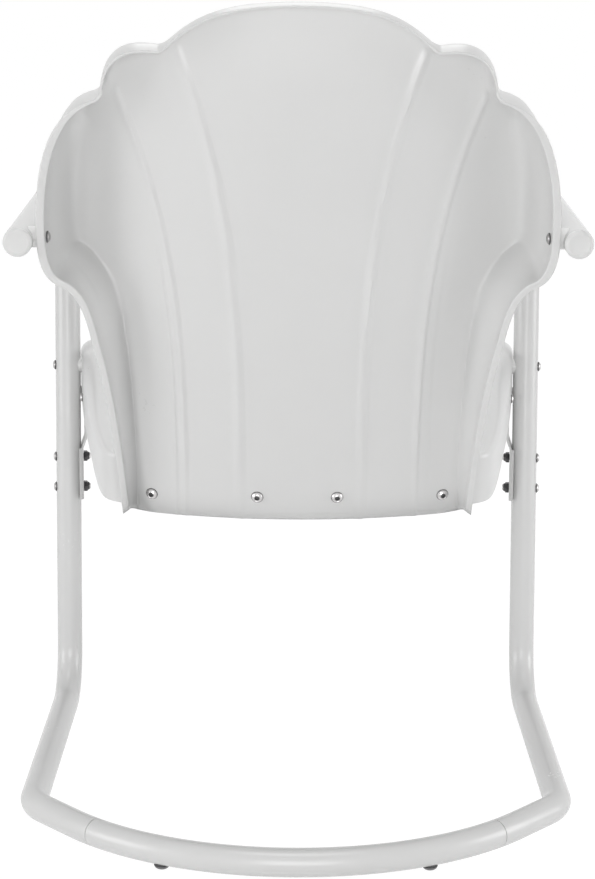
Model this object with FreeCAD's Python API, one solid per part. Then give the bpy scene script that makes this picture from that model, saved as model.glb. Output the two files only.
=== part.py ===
import FreeCAD, Part
import math
import os

# Lawn chair of bent steel tube with a pressed sheet seat and a five-lobed back.
# The sitter faces -Y, +X is the sitter's left, +Z is up and the floor is Z = 0.
# The origin is the centre of the footprint, on the floor. Lengths in millimetres.

V = FreeCAD.Vector

# Frame tube
tube_r = 15.0
tube_wall = 1.5
leg_half_spacing = 277.0
toe_out_deg = 1.1
leg_lean_deg = 4.35
floor_rise_deg = 0.59
spring_bend_r = 60.0
top_bend_r = 75.0
arm_rear_z = 638.0
arm_slope_deg = 0.86
arm_end_reach = 451.0

# Places along the depth, measured back from the foot of the front legs
leg_foot_y = -233.0
bow_reach = 581.0
bow_r = 305.0
bow_end_deg = 50.4
seam_deg = 43.8
swage_end_deg = 24.0
swage_r = 13.3
rear_bend_r = 60.0

# Back shell, in its own plane: x across, h up the recline, w rearward
sheet = 1.2
back_foot_reach = 372.0
back_foot_z = 326.0
recline_deg = 15.0
rim_corner_x = 187.5
fan_foot_x = 150.0
foot_bow = 29.0
foot_bow_x = 180.0
straight_foot_h = 65.0

# Seat pan
seat_gap = 0.5
seat_front_reach = -130.0
seat_front_bow = 26.0
seat_front_half_width = 262.0
seat_rear_half_width = 213.0
seat_side_bow = 9.8
seat_top_reach = 386.0
seat_fall_reach = 0.0
seat_edge_z = 393.0
seat_slope = 0.115
seat_dish = 18.0
seat_fall = 22.0
seat_corner_r = 24.0
seat_roll_r = 16.0

# Fasteners: shank, head and nut sizes of the two bolt sizes used
m8 = {"shank": 4.0, "head": 6.6, "height": 4.0, "socket": 5.0, "nut": 13.0, "nut_h": 6.5}
m6 = {"shank": 3.0, "head": 5.25, "height": 3.3, "socket": 4.0, "nut": 10.0, "nut_h": 5.0}
hole_play = 0.25
leg_bolt_z = 414.5
bracket_bolt_z = (303.0, 266.0)
wing_bolt_reach = 430.0
wing_bolt_z = 640.6
back_bolts = ((42.6, 353.5), (156.0, 351.5))
wing_head_x = 257.5
wing_spacer_x = 259.9
bracket_screw_z = 379.0
bracket_screw_side = 22.0
glide_half_x = 138.5
glide_head_r = 8.2
bracket_sheet = 2.5
tab_gap = 0.8


def rad(degrees):
    return math.radians(degrees)


def export(name, shape):
    if not shape.isValid():
        print("not valid:", name)
    shape.exportStep("parts/" + name + ".step")


def mirrored(shape):
    return shape.mirror(V(0, 0, 0), V(1, 0, 0))


def both_sides(name, shape):
    export("left_" + name, shape)
    export("right_" + name, mirrored(shape))


def pair(shape):
    return Part.makeCompound([shape, mirrored(shape)])


# Places on a side frame, which stands in an upright plane toed out at the rear.
def side_point(q, z):
    return V(leg_half_spacing + q * math.sin(rad(toe_out_deg)),
             leg_foot_y + q * math.cos(rad(toe_out_deg)), z)


# Rounds the corner b between a and c: the two ends and the middle of the arc.
def corner_arc(a, b, c, radius):
    to_a = (a - b).normalize()
    to_c = (c - b).normalize()
    half = to_a.getAngle(to_c) / 2
    start = b + to_a * (radius / math.tan(half))
    end = b + to_c * (radius / math.tan(half))
    to_centre = (to_a + to_c).normalize()
    middle = b + to_centre * (radius / math.sin(half) - radius)
    return start, middle, end


def line(a, b):
    return Part.LineSegment(a, b).toShape()


def arc(a, middle, b):
    return Part.Arc(a, middle, b).toShape()


def round_bar(edges, radius):
    path = Part.Wire(edges)
    start = path.Edges[0]
    direction = start.tangentAt(start.FirstParameter)
    ring = Part.Wire(Part.makeCircle(radius, start.valueAt(start.FirstParameter), direction))
    return path.makePipeShell([ring], True, True)


def tube(edges, radius=tube_r, wall=tube_wall):
    return round_bar(edges, radius).cut(round_bar(edges, radius - wall))


# A straight tube or bar between two points.
def rod(a, b, radius):
    return Part.makeCylinder(radius, (b - a).Length, a, b - a)


def hexagon(centre, direction, across_flats, height):
    ring = [V(across_flats / math.sqrt(3) * math.cos(rad(60 * i)),
              across_flats / math.sqrt(3) * math.sin(rad(60 * i)), 0) for i in range(7)]
    prism = Part.Face(Part.makePolygon(ring)).extrude(V(0, 0, height))
    prism.Placement = FreeCAD.Placement(centre, FreeCAD.Rotation(V(0, 0, 1), direction))
    return prism


# Button-head screw with a hexagon socket: seat is the point under the head.
def button_screw(seat, direction, length, size, head_r=None, height=None):
    head_r = head_r or size["head"]
    height = height or size["height"]
    out = V(direction).normalize()
    ball_r = (head_r ** 2 + height ** 2) / (2 * height)
    dome = Part.makeSphere(ball_r, seat + out * (height - ball_r))
    dome = dome.common(rod(seat, seat + out * height * 1.1, head_r))
    socket = hexagon(seat + out * height * 0.4, out, size["socket"], height)
    return dome.cut(socket).fuse(rod(seat - out * length, seat + out * 0.2, size["shank"]))


def nut(seat, direction, size, play=0.05):
    body = hexagon(seat, direction, size["nut"], size["nut_h"])
    away = V(direction).normalize()
    return body.cut(rod(seat - away, seat + away * (size["nut_h"] + 1), size["shank"] + play))


def washer(seat, direction, size, radius, thick):
    away = V(direction).normalize()
    bore = rod(seat - away, seat + away * (thick + 1), size["shank"] + hole_play)
    return rod(seat, seat + away * thick, radius).cut(bore)


# A smooth sheet through a net of control points.
def spline_sheet(net):
    def clamped(count):
        spans = count - 3
        return [4] + [1] * (spans - 1) + [4], [float(i) for i in range(spans + 1)]
    u_mults, u_knots = clamped(len(net))
    v_mults, v_knots = clamped(len(net[0]))
    surface = Part.BSplineSurface()
    surface.buildFromPolesMultsKnots(net, u_mults, v_mults, u_knots, v_knots, False, False, 3, 3)
    return surface


# Closes two matching sheets with strips round their four edges.
def sheet_solid(net_a, net_b):
    a = spline_sheet(net_a)
    b = spline_sheet(net_b)
    u_end = float(len(net_a) - 3)
    v_end = float(len(net_a[0]) - 3)
    faces = [a.toShape(), b.toShape()]
    for edge_a, edge_b in ((a.uIso(0), b.uIso(0)), (a.uIso(u_end), b.uIso(u_end)),
                           (a.vIso(0), b.vIso(0)), (a.vIso(v_end), b.vIso(v_end))):
        faces.append(Part.makeRuledSurface(edge_a.toShape(), edge_b.toShape()))
    shell = Part.makeShell(faces)
    shell.sewShape()
    solid = Part.makeSolid(shell)
    if solid.Volume < 0:
        solid.reverse()
    return solid


# The same net moved along its normals, to give a sheet its thickness.
def moved_along_normals(net, distance):
    rows = len(net)
    columns = len(net[0])
    result = []
    for i in range(rows):
        new_row = []
        for j in range(columns):
            along = net[min(i + 1, rows - 1)][j] - net[max(i - 1, 0)][j]
            across = net[i][min(j + 1, columns - 1)] - net[i][max(j - 1, 0)]
            normal = along.cross(across)
            if normal.Length < 1e-6:
                near_i = min(max(i, 1), rows - 2)
                near_j = min(max(j, 1), columns - 2)
                along = net[near_i + 1][near_j] - net[near_i - 1][near_j]
                across = net[near_i][near_j + 1] - net[near_i][near_j - 1]
                normal = along.cross(across)
            new_row.append(net[i][j] + normal.normalize() * distance)
        result.append(new_row)
    return result


def bezier(points, t):
    a, b, c, d = points
    k = 1 - t
    return tuple(k ** 3 * a[n] + 3 * k * k * t * b[n] + 3 * k * t * t * c[n] + t ** 3 * d[n]
                 for n in range(2))


def smooth_step(low, high, value):
    t = min(max((value - low) / (high - low), 0.0), 1.0)
    return t * t * (3 - 2 * t)


# Half of the back's rim as seen along w: centre lobe, second lobe, outer lobe,
# the side of the wing, the hollow below the wing, and the side down to the corner.
rim_curves = [
    [(0, 580), (75, 580), (105, 562), (133, 534)],
    [(136, 530), (178, 535), (194, 515), (198, 481)],
    [(199, 479), (238, 466), (264, 432), (266.5, 340)],
    [(266.5, 340), (268, 300), (262, 278), (243, 271.5)],
    [(243, 271.5), (225, 264), (219, 240), (213, 209)],
    [(213, 209), (202, 165), (192, 90), (rim_corner_x, 0)],
]
rim_steps = [8, 8, 11, 6, 6, 9]


def half_rim():
    points = []
    for curve, steps in zip(rim_curves, rim_steps):
        points += [bezier(curve, k / steps) for k in range(steps)]
    points.append(rim_curves[-1][-1])
    return points


# Outward direction of the rim at each point, evened out over its neighbours.
def rim_normals(points):
    raw = []
    for k in range(len(points)):
        a = points[max(k - 1, 0)]
        b = points[min(k + 1, len(points) - 1)]
        dx, dh = b[0] - a[0], b[1] - a[1]
        size = math.hypot(dx, dh)
        raw.append((-dh / size, dx / size))
    raw[0] = (0.0, 1.0)
    return [(-n[0], -n[1]) if n[0] * p[0] + n[1] * (p[1] - 200) < 0 else n
            for n, p in zip(raw, points)]


def lip_width(x, h):
    return 4.0 + 4.0 * smooth_step(150, 250, x) + 3.5 * smooth_step(250, 100, h) * smooth_step(250, 150, x)


def wall_run(x, h):
    top = 10.0 + 6.0 * smooth_step(120, 230, x)
    wing = 14.0 * smooth_step(470, 380, h) * smooth_step(120, 260, h)
    low = -10.0 * smooth_step(230, 120, h)
    return top + wing + low


def rim_depth(x, h):
    return 14 - 20 * min(1.0, (x / 250) ** 2) - 20 * max(0.0, 1 - h / 300) ** 2


# How far the panel falls away from the middle of the back, towards the front.
def panel_depth(x, h):
    rising = smooth_step(straight_foot_h, 300, h)
    fall = foot_bow + 33 * rising
    reach = foot_bow_x + 49 * rising
    crown = 8 * smooth_step(470, 580, h)
    return -fall * (abs(x) / reach) ** (2 + 0.9 * rising) - crown


def back_point(x, h, w):
    sin_a, cos_a = math.sin(rad(recline_deg)), math.cos(rad(recline_deg))
    return V(x, leg_foot_y + back_foot_reach + h * sin_a + w * cos_a,
             back_foot_z + h * cos_a - w * sin_a)


# Evens out a row of points over their neighbours, with both ends kept.
def evened(points, passes):
    for _ in range(passes):
        inner = [tuple((a[n] + 2 * b[n] + c[n]) / 4 for n in range(2))
                 for a, b, c in zip(points, points[1:], points[2:])]
        points = [points[0]] + inner + [points[-1]]
    return points


# Control net of the back: columns run along the rim, rows from the foot edge up
# over the panel, then up the wall of the rim and out over its lip.
panel_shares = (0, 0.1, 0.2, 0.3, 0.4, 0.5, 0.6, 0.7, 0.8, 0.88, 0.95, 1.0)
wall_rows = ((0.66, 0.02), (0.36, 0.08), (0.14, 0.2), (0.03, 0.38), (0.0, 0.62), (0.0, 1.0))
lip_shares = (0.4, 0.75, 1.0)


def back_column(rim_point, lip_point, root, foot):
    column = []
    for share in panel_shares:
        x, h = foot + (root[0] - foot) * share, root[1] * share
        column.append((x, h, panel_depth(x, h)))
    low = column[-1][2]
    high = rim_depth(*rim_point)
    for inward, climb in wall_rows:
        x, h = [edge + (base - edge) * inward for edge, base in zip(lip_point, root)]
        column.append((x, h, low + (high - low) * climb))
    for share in lip_shares:
        x, h = [edge + (end - edge) * share for edge, end in zip(lip_point, rim_point)]
        column.append((x, h, high))
    return column


def back_net():
    rim = half_rim()
    normals = rim_normals(rim)
    lip_points = [(x - nx * lip_width(x, h), h - nh * lip_width(x, h))
                  for (x, h), (nx, nh) in zip(rim, normals)]
    roots = [(x - nx * (lip_width(x, h) + wall_run(x, h)), h - nh * (lip_width(x, h) + wall_run(x, h)))
             for (x, h), (nx, nh) in zip(rim, normals)]
    roots = evened(roots, 6)
    last = len(rim) - 1
    columns = [back_column(rim[k], lip_points[k], roots[k], fan_foot_x * (k / last) ** 0.75)
               for k in range(last + 1)]
    net = [[(-x, h, w) for x, h, w in column] for column in reversed(columns[1:])] + columns
    return [[back_point(x, h, w) for x, h, w in column] for column in net]


# Places and directions shared by the pieces of one side frame.
rise = rad(floor_rise_deg)
lean = rad(leg_lean_deg)
recline = rad(recline_deg)
spring_half_angle = (math.pi / 2 + lean - rise) / 2
foot_z = (tube_r + spring_bend_r * (1 - math.cos(rise))
          - spring_bend_r / math.tan(spring_half_angle) * math.sin(rise))
bow_centre = bow_reach - bow_r


# A point of the floor loop, whose plane rises a little towards the rear.
def floor_point(x, reach):
    return V(x, leg_foot_y + reach * math.cos(rise), foot_z + reach * math.sin(rise))


def bow_point(degrees):
    return floor_point(bow_r * math.sin(rad(degrees)), bow_centre + bow_r * math.cos(rad(degrees)))


def bow_arc(start_deg, end_deg):
    return arc(bow_point(start_deg), bow_point((start_deg + end_deg) / 2), bow_point(end_deg))


# Where the straight beside the bow meets the line of the side runner.
def rear_corner():
    x = bow_r * math.sin(rad(bow_end_deg))
    reach = bow_centre + bow_r * math.cos(rad(bow_end_deg))
    toe = math.tan(rad(toe_out_deg))
    run = ((leg_half_spacing + toe * reach - x)
           / (math.cos(rad(bow_end_deg)) + toe * math.sin(rad(bow_end_deg))))
    return floor_point(x + run * math.cos(rad(bow_end_deg)), reach - run * math.sin(rad(bow_end_deg)))


def top_corner():
    slope = math.tan(rad(arm_slope_deg))
    z = ((arm_rear_z + slope * (arm_end_reach - foot_z * math.tan(lean)))
         / (1 - slope * math.tan(lean)))
    return side_point(-(z - foot_z) * math.tan(lean), z)


foot = floor_point(leg_half_spacing, 0)
corner_rear = rear_corner()
corner_top = top_corner()
arm_end = side_point(arm_end_reach, arm_rear_z)
arm_dir = (arm_end - corner_top).normalize()
spring_start, spring_middle, spring_end = corner_arc(corner_rear, foot, corner_top, spring_bend_r)
rear_start, rear_middle, rear_end = corner_arc(foot, corner_rear, bow_point(bow_end_deg), rear_bend_r)
top_start, top_middle, top_end = corner_arc(foot, corner_top, arm_end, top_bend_r)


def leg_axis(z):
    return side_point(-(z - foot_z) * math.tan(lean), z)


# The side frame's tube, in the stretches between its bends.
shoulder_deg = 0.6
glide_deg = math.degrees(math.asin(glide_half_x / bow_r))
glide_top = bow_point(glide_deg)
glide_hole = rod(glide_top - V(0, 0, tube_r + 1), glide_top - V(0, 0, tube_r / 3), m8["shank"] + hole_play)


def build_runner():
    body = tube([line(spring_start, rear_start), arc(rear_start, rear_middle, rear_end),
                 line(rear_end, bow_point(bow_end_deg)),
                 bow_arc(bow_end_deg, seam_deg + shoulder_deg)])
    bore = swage_r - tube_wall
    shoulder = tube([bow_arc(seam_deg + shoulder_deg, seam_deg)], tube_r, tube_r - bore)
    swage = tube([bow_arc(seam_deg, swage_end_deg)], swage_r, tube_wall)
    return body.fuse([shoulder, swage]).removeSplitter().cut(glide_hole)


def build_cross_tube():
    return tube([bow_arc(-seam_deg, seam_deg)]).cut([glide_hole, mirrored(glide_hole)])


def build_spring_bend():
    return tube([arc(spring_start, spring_middle, spring_end)])


# Domed glides under the cross tube, each saddled to the tube and screwed into it.
def build_glide_screw():
    drop = glide_top.z - tube_r
    ball_r = (glide_head_r ** 2 + drop ** 2) / (2 * drop)
    dome = Part.makeSphere(ball_r, V(glide_top.x, glide_top.y, ball_r))
    barrel = rod(V(glide_top.x, glide_top.y, 0), glide_top - V(0, 0, tube_r * 0.8), glide_head_r)
    side_span = 2 * glide_head_r / bow_r
    reach_deg = math.degrees(side_span)
    saddle = round_bar([bow_arc(glide_deg - reach_deg, glide_deg + reach_deg)], tube_r)
    upper = rod(V(glide_top.x, glide_top.y, drop), glide_top - V(0, 0, tube_r * 0.8), glide_head_r)
    head = barrel.common(dome.fuse(upper)).cut(saddle)
    shank = rod(V(glide_top.x, glide_top.y, drop * 0.6), glide_top - V(0, 0, 3), m8["shank"])
    return head.fuse(shank)


def build_glide_insert():
    body = rod(glide_top - V(0, 0, swage_r - tube_wall), glide_top + V(0, 0, 1), 6.0)
    bore = swage_r - tube_wall
    inside = round_bar([bow_arc(glide_deg - 3, glide_deg + 3)], bore - 0.02)
    shank = rod(glide_top - V(0, 0, tube_r), glide_top + V(0, 0, 2), m8["shank"] + 0.05)
    return body.common(inside).cut(shank)


# Leg hardware is square to the seat's side: out is away from the seat.
def seat_rear_reach(z):
    return (back_foot_reach + (z - back_foot_z) * math.tan(recline)
            - (sheet + seat_gap) / math.cos(recline))


def seat_rear_corner_reach(z):
    bow = foot_bow * (seat_rear_half_width / foot_bow_x) ** 2
    return seat_rear_reach(z) - bow / math.cos(recline)


def seat_half_width(reach, z):
    run = seat_rear_corner_reach(z) - seat_front_reach - seat_front_bow
    share = (seat_rear_corner_reach(z) - reach) / run
    width = seat_rear_half_width + (seat_front_half_width - seat_rear_half_width) * share
    return width + 4 * seat_side_bow * share * (1 - share)


def seat_side_slope(reach, z):
    return (seat_half_width(reach - 1, z) - seat_half_width(reach + 1, z)) / 2


skirt_reach = leg_axis(leg_bolt_z).y - leg_foot_y
skirt_angle = math.atan(seat_side_slope(skirt_reach, leg_bolt_z))
out = V(math.cos(skirt_angle), math.sin(skirt_angle), 0)
along = V(-math.sin(skirt_angle), math.cos(skirt_angle), 0)
skirt_place = V(seat_half_width(skirt_reach, leg_bolt_z), leg_axis(leg_bolt_z).y, leg_bolt_z)
skirt_distance = (leg_axis(leg_bolt_z) - skirt_place).dot(out)
bolt_r = m8["shank"]
leg_hole_zs = (leg_bolt_z,) + bracket_bolt_z


def leg_cross_rod(z, start, end, radius):
    return rod(leg_axis(z) + out * start, leg_axis(z) + out * end, radius)


def build_front_leg():
    leg = tube([line(spring_end, top_start)])
    return leg.cut([leg_cross_rod(z, -20, 20, bolt_r + hole_play) for z in leg_hole_zs])


def build_top_bend():
    return tube([arc(top_start, top_middle, top_end)])


wing_bolt_centre = side_point((wing_bolt_reach - 0.1), wing_bolt_z)
arm_inner_face = V(wing_bolt_centre.x - tube_r, wing_bolt_centre.y, wing_bolt_z)


def build_arm_tube():
    arm = tube([line(top_end, arm_end)])
    hole = rod(arm_inner_face - V(1, 0, 0), arm_inner_face + V(tube_r, 0, 0), 5.5 + hole_play)
    return arm.cut(hole)


# A round plug with a domed face that closes the rear end of the arm.
def build_arm_cap():
    plug = rod(arm_end - arm_dir * 12, arm_end, tube_r - tube_wall - 0.1)
    hollow = rod(arm_end - arm_dir * 13, arm_end - arm_dir * 2, tube_r - tube_wall - 1.8)
    rim = rod(arm_end, arm_end + arm_dir * 2.2, tube_r)
    dome_r = (tube_r ** 2 + 2.0 ** 2) / (2 * 2.0)
    dome = Part.makeSphere(dome_r, arm_end + arm_dir * (4.2 - dome_r))
    dome = dome.common(rod(arm_end + arm_dir * 2.2, arm_end + arm_dir * 6, tube_r))
    return plug.cut(hollow).fuse([rim, dome])


def build_arm_insert():
    body = rod(arm_inner_face + V(0.6, 0, 0), arm_inner_face + V(17, 0, 0), 5.5)
    tube_inside = round_bar([line(top_end, arm_end)], tube_r - 0.02)
    thread = rod(arm_inner_face, arm_inner_face + V(18, 0, 0), bolt_r + 0.05)
    return body.common(tube_inside).cut(thread)


def build_arm_spacer():
    start = V(wing_spacer_x, wing_bolt_centre.y, wing_bolt_z)
    body = rod(start, arm_inner_face + V(6, 0, 0), 11.0)
    arm = round_bar([line(top_end, arm_end)], tube_r + 0.05)
    return body.cut([arm, rod(start - V(1, 0, 0), arm_inner_face + V(8, 0, 0), bolt_r + hole_play)])


# The pressed seat: two blocks of the same form, one a sheet's thickness inside the other.
def seat_wire(z, inset):
    rear = seat_rear_reach(z) - inset / math.cos(recline)
    rear_corner_reach = seat_rear_corner_reach(z) - inset / math.cos(recline)
    rear_x = seat_rear_half_width - inset
    front = seat_front_reach + inset
    front_x = seat_front_half_width - inset
    front_corner = front + seat_front_bow
    side_reach = (front_corner + rear_corner_reach) / 2
    side_x = (front_x + rear_x) / 2 + seat_side_bow
    place = [V(x, leg_foot_y + reach, z) for x, reach in (
        (-front_x, front_corner), (0, front), (front_x, front_corner), (side_x, side_reach),
        (rear_x, rear_corner_reach), (0, rear), (-rear_x, rear_corner_reach), (-side_x, side_reach))]
    return Part.Wire([arc(place[i], place[i + 1], place[(i + 2) % 8]) for i in (0, 2, 4, 6)])


def seat_top_z(x, reach):
    middle = (seat_front_reach + seat_top_reach) / 2
    a = x / (seat_half_width(reach, seat_edge_z))
    b = (reach - middle) / ((seat_top_reach - seat_front_reach) / 2)
    front = max(0.0, (seat_fall_reach - reach) / (seat_fall_reach - seat_front_reach))
    return (seat_edge_z + (seat_top_reach - reach) * seat_slope - seat_fall * front ** 2
            - seat_dish * (1 - a ** 4) * (1 - b ** 4))


def seat_block(inset, low_z):
    block = Part.makeLoft([seat_wire(low_z, inset), seat_wire(seat_edge_z + 90, inset)], True, True)
    corners = [e for e in block.Edges if abs(e.Vertexes[0].Z - e.Vertexes[1].Z) > 50]
    block = block.makeFillet(seat_corner_r - inset, corners)
    grid = [[V(x, leg_foot_y + reach, seat_top_z(x, reach) - inset)
             for reach in range(-160, 421, 58)] for x in range(-296, 297, 74)]
    surface = Part.BSplineSurface()
    surface.interpolate(grid)
    block = block.cut(surface.toShape().extrude(V(0, 0, 150)))
    top = max(block.Faces, key=lambda face: face.CenterOfMass.z)
    return block.makeFillet(seat_roll_r - inset, top.Edges)


# What lies below the seat's skirt: the lower edge rises from the rear to the front.
def below_skirt():
    edge = Part.BSplineCurve()
    edge.interpolate([V(-400, leg_foot_y + reach, z) for reach, z in
                      ((-160, 390), (-80, 376), (20, 364), (210, 358), (300, 342), (360, 336), (420, 335))])
    ends = [edge.StartPoint, edge.EndPoint]
    low = [V(-400, p.y, 200) for p in ends]
    wire = Part.Wire([edge.toShape(), line(ends[1], low[1]), line(low[1], low[0]), line(low[0], ends[0])])
    return Part.Face(wire).extrude(V(800, 0, 0))


def back_bolt_place(x, z):
    bow = foot_bow * (x / foot_bow_x) ** 2
    h = (z - back_foot_z - bow * math.sin(recline)) / math.cos(recline)
    tilt = 2 * foot_bow * x / foot_bow_x ** 2
    across = (back_point(x + tilt, h, -bow + 1) - back_point(x, h, -bow)).normalize()
    return back_point(x, h, -bow), across


# Places on the skirt where the bracket's two screws enter it.
def bracket_screw_places():
    places = []
    for side in (-bracket_screw_side, bracket_screw_side):
        near = leg_axis(bracket_screw_z) + along * side
        skirt = V(seat_half_width(near.y - leg_foot_y, bracket_screw_z), near.y, bracket_screw_z)
        places.append(near - out * (near - skirt).dot(out))
    return places


def build_seat(outer):
    seat = outer.cut(seat_block(sheet, 290)).cut(below_skirt())
    holes = [leg_cross_rod(leg_bolt_z, -30, -10, bolt_r + hole_play)]
    for place in bracket_screw_places():
        holes.append(rod(place - out * 6, place + out * 4, m6["shank"] + hole_play))
    for x, z in back_bolts:
        place, across = back_bolt_place(x, z)
        holes.append(rod(place - across * 9, place + across * 3, bolt_r + hole_play))
    return seat.cut(holes + [mirrored(hole) for hole in holes])


def build_back():
    net = back_net()
    back = sheet_solid(net, moved_along_normals(net, sheet))
    holes = [rod(arm_inner_face - V(30, 0, 0), arm_inner_face, bolt_r + hole_play)]
    for x, z in back_bolts:
        place, across = back_bolt_place(x, z)
        holes.append(rod(place - across * 4, place + across * 4, bolt_r + hole_play))
    return back.cut(holes + [mirrored(hole) for hole in holes])


# The bracket under the seat: a plate along the leg with a lip behind the leg, then a
# step inwards and a wider tab inside the skirt.
def build_bracket():
    base = leg_axis(sum(bracket_bolt_z) / 2)
    skirt = (skirt_place - base).dot(out)

    def plate(profile, start, thick):
        face = Part.Face(Part.makePolygon([base + along * s + V(0, 0, z - base.z) + out * start
                                           for s, z in profile + profile[:1]]))
        return face.extrude(out * -thick)

    near = -tube_r - 0.3
    far = skirt - sheet - tab_gap
    low = plate([(-9, 248), (11, 248), (16, 262), (16, 318), (-14, 318), (-14, 262)], near, bracket_sheet)
    lip_face = Part.Face(Part.makePolygon(
        [base + along * (16 - bracket_sheet) + V(0, 0, z - base.z) + out * d for d, z in
         ((near, 262), (near + 7.5, 270), (near + 7.5, 312), (near, 318), (near, 262))]))
    lip = lip_face.extrude(along * bracket_sheet)
    step_face = Part.Face(Part.makePolygon(
        [base + along * -14 + V(0, 0, z - base.z) + out * d for d, z in
         ((near, 314), (near, 318), (far, 328), (far - bracket_sheet, 328),
          (near - bracket_sheet, 317), (near - bracket_sheet, 314), (near, 314))]))
    step = step_face.extrude(along * 30)
    tab = plate([(-14, 326), (16, 326), (16, 352), (30, 368), (30, 390), (-30, 390), (-30, 368),
                 (-14, 352)], far, bracket_sheet)
    holes = [leg_cross_rod(z, -30, 0, bolt_r + hole_play) for z in bracket_bolt_z]
    holes += [rod(place - out * 9, place, m6["shank"] + hole_play) for place in bracket_screw_places()]
    return low.fuse([lip, step, tab]).removeSplitter().cut(holes)


os.makedirs("parts", exist_ok=True)

both_sides("runner", build_runner())
both_sides("spring_bend", build_spring_bend())
export("rear_cross_tube", build_cross_tube())
export("glide_screws", pair(build_glide_screw()))
export("glide_inserts", pair(build_glide_insert()))
both_sides("front_leg", build_front_leg())
both_sides("top_bend", build_top_bend())
both_sides("arm_tube", build_arm_tube())
both_sides("arm_cap", build_arm_cap())

arm_bolt = button_screw(V(wing_head_x, wing_bolt_centre.y, wing_bolt_z), V(-1, 0, 0), 24, m8)
export("arm_bolts", pair(arm_bolt))
export("arm_inserts", pair(build_arm_insert()))
both_sides("arm_spacer", build_arm_spacer())

seat_outer = seat_block(0, 300)
export("seat_pan", build_seat(seat_outer))
export("back_shell", build_back())

spacer = leg_cross_rod(leg_bolt_z, -skirt_distance - 2, -10, 9.35)
spacer = spacer.cut([round_bar([line(spring_end, top_start)], tube_r + 0.05), seat_outer,
                     leg_cross_rod(leg_bolt_z, -30, 0, bolt_r + hole_play)])
both_sides("seat_spacer", spacer)

washer_thick = 1.6
washer_r = 8.5
nut_gap = 0.4
skirt_inside = leg_axis(leg_bolt_z) - out * (skirt_distance + sheet + nut_gap)
leg_bolt = button_screw(leg_axis(leg_bolt_z) + out * tube_r, out,
                        tube_r + skirt_distance + sheet + washer_thick + m8["nut_h"] + 2, m8)
export("leg_bolts", pair(leg_bolt))
export("leg_washers", pair(washer(skirt_inside, -out, m8, washer_r, washer_thick)))
export("leg_nuts", pair(nut(skirt_inside - out * washer_thick, -out, m8)))

both_sides("seat_bracket", build_bracket())
plate_back = tube_r + 0.3 + bracket_sheet
lower_bolts = []
lower_nuts = []
for z in bracket_bolt_z:
    length = tube_r + plate_back + m8["nut_h"] + 2
    lower_bolts.append(button_screw(leg_axis(z) + out * tube_r, out, length, m8))
    lower_nuts.append(nut(leg_axis(z) - out * (plate_back + nut_gap), -out, m8))
export("bracket_bolts", Part.makeCompound(lower_bolts + [mirrored(b) for b in lower_bolts]))
export("bracket_nuts", Part.makeCompound(lower_nuts + [mirrored(n) for n in lower_nuts]))

tab_back = sheet + tab_gap + bracket_sheet + nut_gap
screws = []
screw_nuts = []
for place in bracket_screw_places():
    screws.append(button_screw(place + out * 0.3, out, tab_back + m6["nut_h"] + 2, m6))
    screw_nuts.append(nut(place - out * (tab_back + nut_gap), -out, m6))
export("bracket_seat_screws", Part.makeCompound(screws + [mirrored(s) for s in screws]))
export("bracket_seat_nuts", Part.makeCompound(screw_nuts + [mirrored(n) for n in screw_nuts]))

clamped = 2 * sheet + seat_gap + nut_gap
bolts = []
washers = []
nuts = []
for x, z in back_bolts:
    place, across = back_bolt_place(x, z)
    bolts.append(button_screw(place + across * 0.05, across, clamped + washer_thick + m8["nut_h"] + 2, m8))
    washers.append(washer(place - across * clamped, -across, m8, washer_r, washer_thick))
    nuts.append(nut(place - across * (clamped + washer_thick), -across, m8))
for name, solids in (("back_bolts", bolts), ("back_washers", washers), ("back_nuts", nuts)):
    export(name, Part.makeCompound(solids + [mirrored(solid) for solid in solids]))
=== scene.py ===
import bmesh
import bpy
from math import asin, atan, atan2, cos, exp, hypot, pi, radians, sin, sqrt, tan
from mathutils import Matrix, Vector


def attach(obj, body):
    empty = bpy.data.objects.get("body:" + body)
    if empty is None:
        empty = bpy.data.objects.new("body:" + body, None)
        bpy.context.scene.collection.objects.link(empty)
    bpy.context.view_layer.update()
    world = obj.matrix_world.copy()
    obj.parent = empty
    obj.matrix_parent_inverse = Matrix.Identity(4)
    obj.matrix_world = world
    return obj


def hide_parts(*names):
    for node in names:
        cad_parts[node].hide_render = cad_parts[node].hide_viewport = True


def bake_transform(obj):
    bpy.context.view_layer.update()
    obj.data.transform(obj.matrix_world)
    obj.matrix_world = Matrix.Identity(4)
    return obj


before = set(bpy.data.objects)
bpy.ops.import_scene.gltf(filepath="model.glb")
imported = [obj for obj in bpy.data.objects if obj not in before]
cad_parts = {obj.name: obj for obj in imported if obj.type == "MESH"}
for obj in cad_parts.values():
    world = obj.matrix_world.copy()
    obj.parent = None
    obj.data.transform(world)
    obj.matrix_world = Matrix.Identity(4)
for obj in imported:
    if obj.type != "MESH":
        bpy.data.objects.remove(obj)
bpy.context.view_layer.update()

# Camera. It stands straight behind the chair and looks 13 degrees down from about three
# metres away, through a long lens, so the floor frame narrows only a little to the front.
mm = 0.001
camera_place = Vector((6.6, 2936.0, 1060.0)) * mm
camera_pitch = radians(12.98)
camera_yaw = -0.0024
camera_roll = 0.0044
forward = Vector((sin(camera_yaw) * cos(camera_pitch),
                  -cos(camera_yaw) * cos(camera_pitch), -sin(camera_pitch)))
level_right = forward.cross(Vector((0, 0, 1))).normalized()
level_up = level_right.cross(forward)
camera_right = level_right * cos(camera_roll) + level_up * sin(camera_roll)
camera_up = level_up * cos(camera_roll) - level_right * sin(camera_roll)
camera_turn = Matrix((camera_right, camera_up, -forward)).transposed()


def put(name, data):
    """Makes a scene object of a camera, mesh or lamp."""
    made = bpy.data.objects.new(name, data)
    bpy.context.collection.objects.link(made)
    return made


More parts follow.
